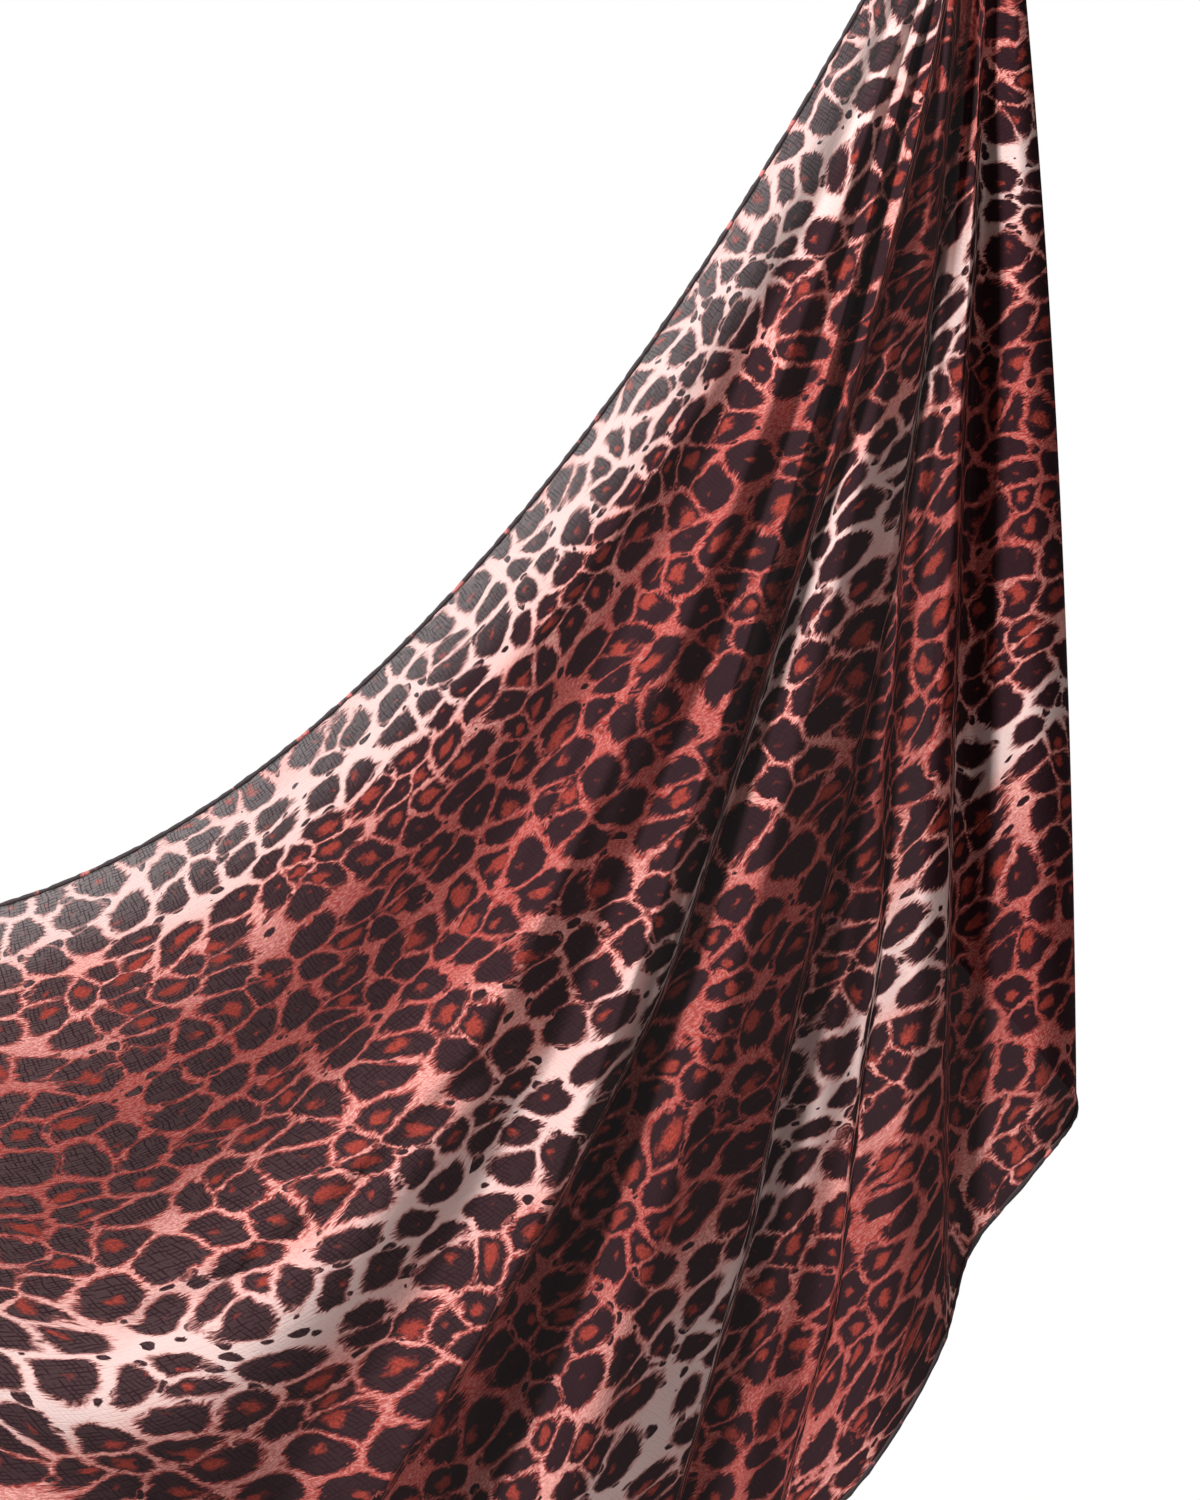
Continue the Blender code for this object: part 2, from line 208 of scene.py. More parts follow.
def tuft(start, hold, height, pinch):
    """The cloth above a gathered point, from its top down."""
    share = (np.arange(TUFT_ROWS, 0, -1) / TUFT_ROWS)[:, None]
    x = hold[0] + (start[0] - hold[0]) * (1 + TUFT_SPREAD * share)
    depth = pinch * (1 + TUFT_DEEPER * share) + TUFT_LEAN * share * share
    return np.hstack([x, depth, hold[2] + height * share])


def deepen(points, distance, row):
    """Points of a strand with its depth, which grows with their distance from a gathered point."""
    near = np.minimum(distance / FULL_DEPTH_AT, MOST_OPEN) ** OPENING
    points[:, 1] = row.pinch * np.maximum(0, 1 - near) + row.depth * near
    return points


def swag_strand(row):
    """The right part of a swag strand, from its tuft to low_x, and the left part, from its tuft to low_x."""
    start = np.array((row.right_x, 0.0, 0.0))
    end = LEFT_HOLD + (row.left_x, 0, 0)
    bend = (start + end) / 2 - (0, 0, 2 * row.sag)
    turn = (row.low_x - start[0]) / (end[0] - start[0])
    parts = []
    for first, count, hold in ((0.0, RIGHT_ROWS, RIGHT_HOLD), (1.0, LEFT_ROWS, LEFT_HOLD)):
        points = evenly(bezier(start, bend, end, np.linspace(first, turn, STRAND_SAMPLES)), count)
        from_ends = [np.linalg.norm((points - tip)[:, ::2], axis=1) for tip in (start, end)]
        points = deepen(points, np.minimum(*from_ends), row)
        parts.append(np.vstack([tuft(points[0], hold, row.tuft, row.pinch), points]))
    return parts


def fan_strand(row, hold, count):
    """A strand from a gathered point's tuft down to the hem."""
    start = hold + (row.start_x, 0, 0)
    bend = hold + (row.bend_x, 0, row.bend_z)
    end = hold + (row.end_x, 0, row.end_z)
    points = evenly(bezier(start, bend, end, np.linspace(0, 1, STRAND_SAMPLES)), count)
    points = deepen(points, np.linalg.norm((points - start)[:, ::2], axis=1), row)
    return np.vstack([tuft(points[0], hold, row.tuft, row.pinch), points])


def smooth_between(a, b, c, d, t):
    """Centripetal Catmull-Rom between the strands b and c, row by row."""
    knots = [np.zeros((len(a), 1))]
    for p, q in ((a, b), (b, c), (c, d)):
        knots.append(knots[-1] + np.linalg.norm(q - p, axis=1, keepdims=True) ** 0.5)
    at = knots[1] + (knots[2] - knots[1]) * t

    def mix(p, q, i, j):
        return p + (q - p) * ((at - knots[i]) / (knots[j] - knots[i]))

    ab, bc, cd = mix(a, b, 0, 1), mix(b, c, 1, 2), mix(c, d, 2, 3)
    return mix(mix(ab, bc, 0, 2), mix(bc, cd, 1, 3), 1, 2)


def across(strands, before, after, columns):
    """A grid of points, strand by strand with columns between them: grid[column, row]."""
    first = 2 * strands[0] - strands[1] if before is None else before
    last = 2 * strands[-1] - strands[-2] if after is None else after
    line = [first] + list(strands) + [last]
    grid = []
    for i in range(1, len(line) - 2):
        for step in range(columns):
            grid.append(smooth_between(*line[i - 1:i + 3], step / columns))
    grid.append(strands[-1])
    return np.array(grid)


def crease_line(line):
    """Close points along the smooth curve through a crease's places, and how far along it each one is."""
    places = np.array(line)
    knots = distance_along(places)
    at = np.linspace(0, knots[-1], CREASE_SAMPLES)
    fine = np.column_stack([np.interp(at, knots, places[:, axis]) for axis in range(2)])
    for _ in range(CREASE_ROUNDS):
        fine[1:-1] = (fine[:-2] + 2 * fine[1:-1] + fine[2:]) / 4
    return fine, at


def beside(crease, points, reach, fade):
    """Which points lie within reach of a crease, how far to its right, and how much it has grown there."""
    line, at = crease_line(crease.line)
    flat = points[..., ::2].reshape(-1, 2)
    low, high = line.min(axis=0) - reach, line.max(axis=0) + reach
    inside = np.flatnonzero(((flat > low) & (flat < high)).all(axis=1))
    sides, grown, beyond = np.zeros(len(inside)), np.zeros(len(inside)), np.zeros(len(inside))
    for part in np.array_split(np.arange(len(inside)), max(1, len(inside) // CHUNK)):
        gap = flat[inside[part]][:, None, :] - line[None, :, :]
        nearest = np.argmin((gap ** 2).sum(axis=2), axis=1)
        off = gap[np.arange(len(part)), nearest]
        ahead = unit(line[np.minimum(nearest + 1, len(line) - 1)] - line[np.maximum(nearest - 1, 0)])
        sides[part] = off[:, 0] * -ahead[:, 1] + off[:, 1] * ahead[:, 0]
        at_end = (nearest == 0) | (nearest == len(line) - 1)
        beyond[part] = np.where(at_end, np.abs((off * ahead).sum(axis=1)), 0)
        grow = np.clip(np.minimum(at[nearest], at[-1] - at[nearest]) / fade, 0, 1)
        grown[part] = grow * grow * (3 - 2 * grow)
    return inside, sides, grown * np.exp(-(beyond / PAST_END) ** 2)


def crease_depth(crease, points):
    """How far a crease moves points of the front away from the viewer."""
    inside, side, grown = beside(crease, points, CREASE_REACH * max(crease.near, crease.far), crease.fade)
    width = np.where(side < 0, crease.near, crease.far)
    if crease.kind == "step":
        shape = np.tanh(side / STEP_WIDTH) * np.exp(-np.abs(side) / width)
    else:
        shape = -np.exp(-(side / width) ** 2)
    moved = np.zeros(points[..., 0].size)
    moved[inside] = crease.height * grown * shape
    return moved.reshape(points.shape[:-1])


def strand_length(grid):
    """How far along its own strand each point is from where the print's fold lines meet."""
    steps = np.linalg.norm(np.diff(grid[..., ::2], axis=1), axis=-1)
    length = np.concatenate([np.zeros((len(grid), 1)), np.cumsum(steps, axis=1)], axis=1)
    return APEX_RISE + length - length[:, TUFT_ROWS:TUFT_ROWS + 1]


def flat_place(points, apex, sign, angle, from_edge, lean, aside=0.0, length=None):
    """Where points of the cloth lie in the flat: along the long edge, and away from it."""
    reach = np.linalg.norm((points - apex)[..., ::2], axis=-1)
    reach = np.where(points[..., 2] > apex[2], -reach, reach)
    length = reach if length is None else length
    along = sign * (aside + length * np.sin(np.radians(lean)))
    return np.stack([along, from_edge + reach * np.cos(np.radians(angle))], axis=-1)


def edge_slant(edge):
    """How far from square to the long edge the strands run, at each row of it."""
    run, away = np.gradient(edge, axis=0), edge - RIGHT_APEX[::2]
    slant = run[:, 0] * away[:, 1] - run[:, 1] * away[:, 0]
    slant = slant / np.linalg.norm(run, axis=1) / np.linalg.norm(away, axis=1)
    slant[:TUFT_ROWS + 1] = 0
    return slant


def square_up(slant, flat):
    """Turns the print square to the long edge where the strands run at a slant to it."""
    deep = np.clip(flat[..., 1], 0, SQUARE_TO)
    flat[..., 0] -= slant * (deep - deep ** 2 / (2 * SQUARE_TO))


def hide_cloth(grid, flat):
    """Moves the print on at the creases, so that between them it isn't squeezed."""
    # How far each step across the strands goes, as it is seen and in the flat
    places = grid[..., ::2]
    run, flat_run = np.gradient(places, axis=1), np.gradient(flat, axis=1)
    pace = np.linalg.norm(run, axis=-1, keepdims=True)
    run, flat_run = (run / pace)[1:], (flat_run / pace)[1:]
    over = np.diff(places, axis=0)
    down = (over * run).sum(axis=-1, keepdims=True)
    seen = np.linalg.norm(over - run * down, axis=-1)
    step = np.diff(flat, axis=0) - flat_run * down
    size = np.linalg.norm(step, axis=-1)
    extra = np.clip(1 - MOST_SQUEEZE * seen / np.maximum(size, 1e-9), 0, 1)

    # How much of it each crease takes, and where the crease lies in each row
    weights, jumps = [], []
    for crease in CREASES:
        if not crease.hides:
            continue
        inside, side, grown = beside(crease, grid, HIDE_REACH, HIDE_FADE)
        sides, growth = np.full(grid[..., 0].size, np.nan), np.zeros(grid[..., 0].size)
        sides[inside], growth[inside] = side, grown
        sides, growth = sides.reshape(len(grid), -1), growth.reshape(len(grid), -1)
        middle = np.nan_to_num((sides[1:] + sides[:-1]) / 2, nan=HIDE_REACH)
        weights.append(crease.hides * growth[1:] * np.exp(-np.abs(middle) / HIDE_WIDTH))
        crossing = np.exp(-(middle / SKIP_WIDTH) ** 2) * seen
        jumps.append(crossing / (crossing.sum(axis=0, keepdims=True) + 1e-12))

    total = sum(weights) + LEFT_ALONE
    change = np.zeros_like(step)
    for weight, jump in zip(weights, jumps):
        share = extra * weight / total
        for _ in range(SHARE_ROUNDS):
            share[:, 1:-1] = (share[:, :-2] + 2 * share[:, 1:-1] + share[:, 2:]) / 4
        taken = step * share[..., None]
        change += jump[..., None] * taken.sum(axis=0) - taken
    return flat + np.concatenate([np.zeros_like(flat[:1]), np.cumsum(change, axis=0)])


def spread_values(grid, columns, values):
    """A value for each point, from the values of the strands, in step with the cloth's length across."""
    steps = np.linalg.norm(np.diff(grid, axis=0), axis=-1)
    result = np.zeros(grid.shape[:2])
    for i, (a, b) in enumerate(zip(values, values[1:])):
        part = steps[i * columns:(i + 1) * columns]
        share = np.vstack([np.zeros((1, grid.shape[1])), np.cumsum(part, axis=0)])
        share /= share[-1]
        result[i * columns:(i + 1) * columns + 1] = a + (b - a) * share
    return result


def course(row):
    """A strand's angle, from_edge, lean and aside."""
    return row.angle, row.from_edge, row.angle if row.lean is None else row.lean, row.aside


def grid_flat(grid, columns, courses, apex, sign, length=None):
    """Where a grid lies in the flat, from the courses of its strands."""
    values = [spread_values(grid, columns, each) for each in zip(*courses)]
    return flat_place(grid, apex, sign, *values, length)


def right_flats(swag, pleats, back):
    """Where the grids below the right gathered point lie in the flat."""
    layout = ((swag, SWAG_COLUMNS, SWAG), (pleats, PLEAT_COLUMNS, SWAG[-1:] + RIGHT_FAN),
              (back, RETURN_COLUMNS, RIGHT_FAN[-1:] + RIGHT_RETURN))
    slant = edge_slant(swag[0, :, ::2])
    flats = []
    for grid, columns, rows in layout:
        courses = [course(row) for row in rows]
        flats.append(grid_flat(grid, columns, courses, RIGHT_APEX, 1, strand_length(grid)))
        square_up(slant, flats[-1])
    front = hide_cloth(np.vstack([swag, pleats[1:]]), np.vstack([flats[0], flats[1][1:]]))
    return front[:len(swag)], front[len(swag) - 1:], flats[2]


def left_flats(line, line_flat, swag, pleats, back):
    """Where the grids below the left gathered point lie in the flat, on from the swag's lowest line."""
    reach = np.linalg.norm((line - LEFT_APEX)[..., ::2], axis=-1)
    from_edge = LEFT_FROM_EDGE * np.linspace(0, 1, len(line))[:, None]
    turn = np.arccos(np.clip((line_flat[..., 1] - from_edge) / reach, 0, 1))
    shift = line_flat[..., 0] + reach * np.sin(turn)
    angle = np.degrees(turn)
    swag_flat = flat_place(swag, LEFT_APEX, -1, angle, from_edge, angle)
    swag_flat[..., 0] += shift
    seam = (angle[-1, 0], from_edge[-1, 0], angle[-1, 0], 0.0)
    pleats_flat = grid_flat(pleats, LEFT_COLUMNS, [seam] + [course(row) for row in LEFT_FAN], LEFT_APEX, -1)
    courses = [course(row) for row in LEFT_FAN[-1:] + LEFT_RETURN]
    back_flat = grid_flat(back, RETURN_COLUMNS, courses, LEFT_APEX, -1)
    return swag_flat, pleats_flat + (shift[-1, 0], 0), back_flat + (shift[-1, 0], 0)


def join(parts):
    """One mesh of several grids, welded where they meet: points, faces, flat places and the points kept."""
    verts, faces, flats, start = [], [], [], 0
    for grid, flat in parts:
        columns, rows = grid.shape[:2]
        index = start + np.arange(columns * rows).reshape(columns, rows)
        quads = np.stack([index[:-1, :-1], index[:-1, 1:], index[1:, 1:], index[1:, :-1]], axis=-1)
        faces.append(quads.reshape(-1, 4))
        verts.append(grid.reshape(-1, 3))
        flats.append(flat.reshape(-1, 2))
        start += columns * rows
    verts, faces, flats = np.vstack(verts), np.vstack(faces), np.vstack(flats)
    keys = np.round(verts * WELD_GRID).astype(np.int64)
    _, first, same = np.unique(keys, axis=0, return_index=True, return_inverse=True)
    return verts[first], same.reshape(-1)[faces], flats[first], first


def make_mesh(name, verts, faces):
    """A piece of the scene with smooth shading, from lists of points and faces."""
    mesh = bpy.data.meshes.new(name)
    mesh.from_pydata(verts, [], faces)
    mesh.update()
    mesh.shade_smooth()
    piece = bpy.data.objects.new(name, mesh)
    bpy.context.scene.collection.objects.link(piece)
    return piece


def lay_flat(mesh, flats):
    """Gives a mesh its points' places in the flat cloth."""
    layer = mesh.uv_layers.new(name="cloth")
    loops = np.zeros(len(mesh.loops), dtype=np.int32)
    mesh.loops.foreach_get("vertex_index", loops)
    layer.uv.foreach_set("vector", flats[loops].astype(np.float32).ravel())


def build_cloth():
    """The whole sheet, and the lines of its four edges."""
    halves = [swag_strand(row) for row in SWAG]
    right = [half[0] for half in halves]
    left = [half[1] for half in halves]
    whole = [np.vstack([a, b[-2::-1]]) for a, b in halves]
    right_fan = [fan_strand(row, RIGHT_HOLD, RIGHT_ROWS) for row in RIGHT_FAN]
    right_back = [fan_strand(row, RIGHT_HOLD, RIGHT_ROWS) for row in RIGHT_RETURN]
    left_fan = [fan_strand(row, LEFT_HOLD, LEFT_ROWS) for row in LEFT_FAN]
    left_back = [fan_strand(row, LEFT_HOLD, LEFT_ROWS) for row in LEFT_RETURN]

    swag = across(whole, None, np.vstack([right_fan[0], left_fan[0][-2::-1]]), SWAG_COLUMNS)
    pleats = across([right[-1]] + right_fan, right[-2], right_back[0], PLEAT_COLUMNS)
    back = across([right_fan[-1]] + right_back, right_fan[-2], None, RETURN_COLUMNS)
    left_pleats = across([left[-1]] + left_fan, left[-2], left_back[0], LEFT_COLUMNS)
    left_return = across([left_fan[-1]] + left_back, left_fan[-2], None, RETURN_COLUMNS)
    for crease in CREASES:
        swag[..., 1] += crease_depth(crease, swag)
        pleats[..., 1] += crease_depth(crease, pleats)
        back[0, :, 1] += crease_depth(crease, back[0])

    low = len(right[0])
    swag_flat, pleats_flat, back_flat = right_flats(swag[:, :low], pleats, back)
    beyond, left_flat, end_flat = left_flats(swag[:, low - 1:low], swag_flat[:, -1:], swag[:, low:],
                                             left_pleats, left_return)
    swag_flat = np.hstack([swag_flat, beyond])
    parts = [(swag, swag_flat), (pleats, pleats_flat), (back, back_flat),
             (left_pleats[::-1], left_flat[::-1]), (left_return[::-1], end_flat[::-1])]
    verts, faces, flats, kept = join(parts)
    cloth = make_mesh("scarf", verts.tolist(), faces.tolist())
    lay_flat(cloth.data, flats)

    # How sheer the cloth is: the swag's points come first in the joined grids, and the rest isn't sheer
    from_long_edge = np.linalg.norm(swag - swag[:1], axis=-1)
    from_hold = np.minimum(np.linalg.norm(swag, axis=-1), np.linalg.norm(swag - LEFT_HOLD, axis=-1))
    sheer = np.clip(1 - from_long_edge / SHEER_WIDE, 0, 1) * np.clip(from_hold / SHEER_FROM, 0, 1)
    thin = cloth.data.attributes.new("thin", "FLOAT", "POINT")
    thin.data.foreach_set("value", np.append(sheer, 0)[np.minimum(kept, sheer.size)].astype(np.float32))

    top = swag[0, TUFT_ROWS:-TUFT_ROWS]
    bottom = np.vstack([left_return[:0:-1, -1], left_pleats[::-1, -1], pleats[1:, -1], back[1:, -1]])
    return cloth, (top, bottom, back[-1, TUFT_ROWS:], left_return[-1, TUFT_ROWS:])


def build_hem(edges):
    """The rolled hem: a slim uneven tube along each edge of the cloth."""
    verts, faces, flats, start = [], [], [], 0
    turn = np.linspace(0, 2 * np.pi, HEM_SIDES, endpoint=False)
    for edge in edges:
        along = unit(np.gradient(edge, axis=0))
        side = unit(np.cross(along, (0, 1, 0)))
        up = np.cross(side, along)
        reach = distance_along(edge)
        lumps = HEM_LUMPS * np.sin(reach * LUMP_RATE) * np.sin(reach * LUMP_DRIFT + 1)
        thick = HEM_RADIUS * (1 + lumps + HEM_KNOTS * np.sin(reach * KNOT_RATE))
        wave = HEM_WAVE * np.sin(reach * WAVE_RATE + 2 * np.sin(reach * WAVE_DRIFT))
        centre = edge + up * wave[:, None]
        ring = side[:, None] * np.cos(turn)[None, :, None] + up[:, None] * np.sin(turn)[None, :, None]
        verts.append((centre[:, None] + ring * thick[:, None, None]).reshape(-1, 3))
        place = np.stack(np.broadcast_arrays(reach[:, None], turn[None, :] * HEM_RADIUS), axis=-1)
        flats.append(place.reshape(-1, 2))
        index = start + np.arange(len(edge) * HEM_SIDES).reshape(len(edge), HEM_SIDES)
        after = np.roll(index, -1, axis=1)
        faces += np.stack([index[:-1], after[:-1], after[1:], index[1:]], axis=-1).reshape(-1, 4).tolist()
        faces += [index[0, ::-1].tolist(), index[-1].tolist()]
        start += len(edge) * HEM_SIDES
    hem = make_mesh("rolled_hem", np.vstack(verts).tolist(), faces)
    lay_flat(hem.data, np.vstack(flats))
    return hem


class Graph:
    """Short calls for a material's nodes: an input is a number, a colour or another node's output."""

    def __init__(self, name):
        self.material = bpy.data.materials.new(name)
        self.material.use_nodes = True
        self.tree = self.material.node_tree
        self.tree.nodes.clear()

    def node(self, kind, inputs=(), **settings):
        made = self.tree.nodes.new(kind)
        for key, value in settings.items():
            setattr(made, key, value)
        for key, value in dict(inputs).items():
            if isinstance(value, bpy.types.NodeSocket):
                self.tree.links.new(value, made.inputs[key])
            else:
                made.inputs[key].default_value = value
        return made

    def math(self, operation, *values):
        return self.node("ShaderNodeMath", enumerate(values), operation=operation).outputs[0]

    def vectors(self, operation, *values, **more):
        inputs = {**dict(enumerate(values)), **more}
        return self.node("ShaderNodeVectorMath", inputs, operation=operation).outputs[0]

    def add(self, a, b):
        return self.math("ADD", a, b)

    def sub(self, a, b):
        return self.math("SUBTRACT", a, b)

    def mul(self, a, b):
        return self.math("MULTIPLY", a, b)

    def ramp(self, value, low, high, start=0.0, end=1.0):
        """Smoothly from start, where value is low, to end, where it is high."""
        inputs = {"Value": value, "From Min": low, "From Max": high, "To Min": start, "To Max": end}
        return self.node("ShaderNodeMapRange", inputs, interpolation_type="SMOOTHSTEP").outputs[0]

    def vector(self, x, y):
        return self.node("ShaderNodeCombineXYZ", {0: x, 1: y}).outputs[0]

    def split(self, vector):
        return self.node("ShaderNodeSeparateXYZ", {0: vector}).outputs

    def noise(self, vector, scale, detail=2.0, rough=0.5):
        inputs = {"Vector": vector, "Scale": scale, "Detail": detail, "Roughness": rough}
        return self.node("ShaderNodeTexNoise", inputs, noise_dimensions="2D").outputs

    def streaks(self, x, y, scales, detail=2.0, rough=0.5):
        """Noise from -0.5 to 0.5 whose scale isn't the same along x and y."""
        place = self.vector(self.mul(x, scales[0]), self.mul(y, scales[1]))
        return self.sub(self.noise(place, 1.0, detail, rough)[0], 0.5)

    def mix(self, share, a, b):
        return self.node("ShaderNodeMix", {0: share, 6: a, 7: b}, data_type="RGBA").outputs[2]

    def spots(self, place, feature, randomness=0.9):
        inputs = {"Vector": place, "Scale": 1.0, "Randomness": randomness}
        return self.node("ShaderNodeTexVoronoi", inputs, voronoi_dimensions="2D", feature=feature).outputs


def tone(red, green, blue):
    """A colour as it shows on a screen, 0 to 255, as the shader's linear one."""
    return tuple(((c / 255 + 0.055) / 1.055) ** 2.4 for c in (red, green, blue)) + (1.0,)


SPOT = tone(39, 17, 23)
# SPOT_THREAD is the grey of the painted highlight on the dark threads
SPOT_THREAD = tone(112, 88, 88)
FRINGE = tone(98, 38, 36)
CENTRE = tone(160, 62, 50)
CENTRE_DARK = tone(116, 42, 38)
NET_RUST = tone(150, 44, 38)
NET_SALMON = tone(224, 160, 151)
NET_CREAM = tone(214, 186, 181)
HEM_DARK = tone(38, 22, 26)
HEM_RED = tone(178, 96, 92)

# The bands and threads, in metres of the flat cloth. A pair of scales is for noise, along and across it.
BAND = 0.300             # from one cream band to the next
FIRST_BAND = 0.034
BAND_DRIFT = 0.080       # how far a band's sides wander
BAND_SCALES = (6.0, 11.0)
CREAM_WAVE = (0.55, 1.0)         # where the bands' wave turns to cream
SALMON_WAVE = (-0.7, 0.75)       # and before it from rust to salmon
WEAVE = 0.0020           # the weft's spacing
WARP_SPACING = 1.15      # the warp's, beside the weft's
THREAD_BEND = 0.0034     # how far the threads wander
WARP_BEND = 1.6          # and the warp, beside that
BEND_SCALES = (60, 60)
WEFT_SCALES = (120, 480)         # the patches where the weft's grooves show
WARP_SCALES = (480, 110)
GROOVE = (0.2, 0.9)              # where the threads' wave turns into a groove
PATCH = (-0.12, 0.06)            # and the patches' noise into a patch
CRUMPLE_SCALES = (90, 320)
# Painted highlight on the dark threads, in grey: where the cloth is sheer, for the light through it, and at
# the left, where they catch the light
HIGHLIGHT_ALONG = (0.60, 1.05)        # the left of the front, where dark threads catch the light,
HIGHLIGHT_DEEP = (0.50, 0.12)         # down to this far from the long edge
HIGHLIGHT_LEFT, GREY_SHEER, GREY_LEAST = 0.50, 0.20, 0.03

# The spots. Sizes are in cells, and scales are for noise.
CELL = 0.0205            # a spot and its share of the net, across the bands, in metres
CELL_LONG = 1.27         # how much longer it is along them
WIDE_MOVE = (0.5, 0.0, 0.70)     # noise that moves the cells: its scale, its detail and how far
CLOSE_MOVE = (2.4, 1.0, 0.20)
STROKE_SCALES = (4.5, 22.0)      # strokes of the fur, along the bands
FINE_SCALES = (12.0, 34.0)
FUR_SCALES = (11.0, 20.0)
GRAIN_SCALES = (26.0, 26.0)
SPOT_END = (0.10, 0.40)          # how far along a spot from its middle its end starts, and is full
FRAY, FRAY_AT_ENDS, FRAY_FINE = 0.05, 0.13, 0.09
NET_HALF, NET_BY_CHANCE, NET_IN_CREAM = 0.066, 0.034, 0.050      # half the net's width
CROWDED = (0.15, 0.75, 0.30, 1.05)       # the next spot's distance, from and to, and the net's share there
SPOT_SIZE, SIZE_BY_CHANCE, SIZE_IN_CREAM = 0.53, 0.14, 0.06
ROUND_SLOPE, ROUND_BLEND = 0.8, 0.15     # how a spot's corners are rounded
SWELL = 0.020            # and by how much all of it is larger
CUT_SCALE, CUT_DEPTH = 1.9, 0.07         # cuts that break a spot's ring
CUT_NOISE = (0.60, 0.70)
CUT_FROM = (0.16, 0.30)          # how far from the spot's middle they start
GRAIN_DEPTH = 0.05
DOT_CELLS = 2.1          # cells of dots in a cell
DOT_SIZE, DOT_LEAST = 0.62, -0.24
DOT_FRAY = 0.8           # a dot's fraying, beside a spot's
DOT_ROOM = 0.050         # how far a dot stays off the spots
DOT_SWELL = 0.004
EDGE = 0.022             # half the width over which a spot's edge fades
FRINGE_WIDE = (0.035, 0.005)     # how far from a spot's edge its fringe starts, and is full
FRINGE_SHARE = 0.6

# The spots' rust centres, and the net's colours
CENTRE_CHANCE = (0.15, 0.80)     # from none to the largest centre
CENTRE_SIZE, CENTRE_LEAST = 0.235, 0.03
CENTRE_IN_CREAM = 0.75   # how much smaller it is in the cream bands
CENTRE_ROOM = 0.30       # and it is smaller nearer the cell's side than this
PUSHED_CHANCE = (0.35, 1.0)      # from a blob in the spot's middle to a horseshoe
PUSHED = 0.19            # that lies this far off it at most,
DRAWN_OUT = 2.2          # and is drawn out that way, by this times how far
SPECKLE_SCALE, SPECKLE = 4.0, 0.40
CENTRE_FRAY = 0.7        # a centre's fraying, beside a spot's
CENTRE_EDGE = (-0.08, 0.09)
RUST_SCALE = 20.0
RUST_NOISE = (0.25, 0.70)
FUR_NOISE = (-0.10, 0.16)
FUR_GRAIN = 0.35
HEART = (-0.020, -0.085)         # from a spot's edge to the net's middle, which is lighter
HEART_LIGHT, HEART_IN_SALMON = 0.06, 0.55
FUR_LIGHT, FUR_IN_SALMON = 0.34, 0.48
CREAM_HEART = 0.5        # the cream that depends on being in the net's middle


def print_bands(g, u, v):
    """How cream and how salmon the net is, in bands with uneven sides."""
    drift = g.mul(g.streaks(u, v, BAND_SCALES), BAND_DRIFT)
    wave = g.math("COSINE", g.mul(g.add(g.sub(v, FIRST_BAND), drift), 2 * np.pi / BAND))
    return g.ramp(wave, *CREAM_WAVE), g.ramp(wave, *SALMON_WAVE)


def print_cells(g, u, v):
    """Places in the print, in cells, moved about so that the spots aren't even."""
    place = g.vector(g.mul(u, 1 / (CELL * CELL_LONG)), g.mul(v, 1 / CELL))
    for scale, detail, amount in (WIDE_MOVE, CLOSE_MOVE):
        shift = g.vectors("SUBTRACT", g.noise(place, scale, detail)[1], (0.5, 0.5, 0.5))
        place = g.vectors("ADD", place, g.vectors("SCALE", shift, Scale=amount))
    return place


def print_fray(g, px, py, fx):
    """Fur strokes along the bands, which fray the spots' edges, most at a spot's ends."""
    ends = g.ramp(g.math("ABSOLUTE", fx), *SPOT_END)
    strokes = g.mul(g.streaks(px, py, STROKE_SCALES, 1.0), g.add(g.mul(ends, FRAY_AT_ENDS), FRAY))
    return g.add(strokes, g.mul(g.streaks(px, py, FINE_SCALES, 2.0, 0.6), FRAY_FINE))


def print_centre(g, place, chance, fx, fy, to_edge, cream, ragged):
    """A spot's rust centre: none, a blob, or a horseshoe that opens towards one side."""
    aim = g.mul(chance[2], 2 * np.pi)
    ax, ay = g.math("COSINE", aim), g.math("SINE", aim)
    ahead = g.add(g.mul(fx, ax), g.mul(fy, ay))
    aside = g.sub(g.mul(fy, ax), g.mul(fx, ay))
    pushed = g.mul(g.ramp(chance[1], *PUSHED_CHANCE), PUSHED)
    ahead = g.mul(g.sub(ahead, pushed), g.sub(1.0, g.mul(pushed, DRAWN_OUT)))
    off = g.math("SQRT", g.add(g.mul(ahead, ahead), g.mul(aside, aside)))
    size = g.sub(g.mul(g.ramp(chance[0], *CENTRE_CHANCE), CENTRE_SIZE), CENTRE_LEAST)
    size = g.mul(size, g.sub(1.0, g.mul(cream, CENTRE_IN_CREAM)))
    size = g.sub(size, g.mul(g.sub(1.0, g.ramp(to_edge, 0.0, CENTRE_ROOM)), CENTRE_LEAST))
    speckle = g.mul(g.sub(g.noise(place, SPECKLE_SCALE, 3.0, 0.7)[0], 0.5), SPECKLE)
    return g.ramp(g.add(g.add(g.sub(size, off), speckle), g.mul(ragged, CENTRE_FRAY)), *CENTRE_EDGE)


def print_dots(g, place, inside, ragged):
    """How far inside a spot a point is, or inside one of the small dots where the net is wide."""
    dots = g.spots(g.vectors("SCALE", place, Scale=DOT_CELLS), "F1", 1.0)
    dot = g.sub(g.add(g.mul(g.split(dots[1])[0], DOT_SIZE), DOT_LEAST), dots[0])
    dot = g.add(dot, g.mul(ragged, DOT_FRAY))
    dot = g.math("SMOOTH_MIN", dot, g.sub(-DOT_ROOM, inside), DOT_ROOM)
    return g.math("MAXIMUM", inside, g.add(dot, DOT_SWELL))


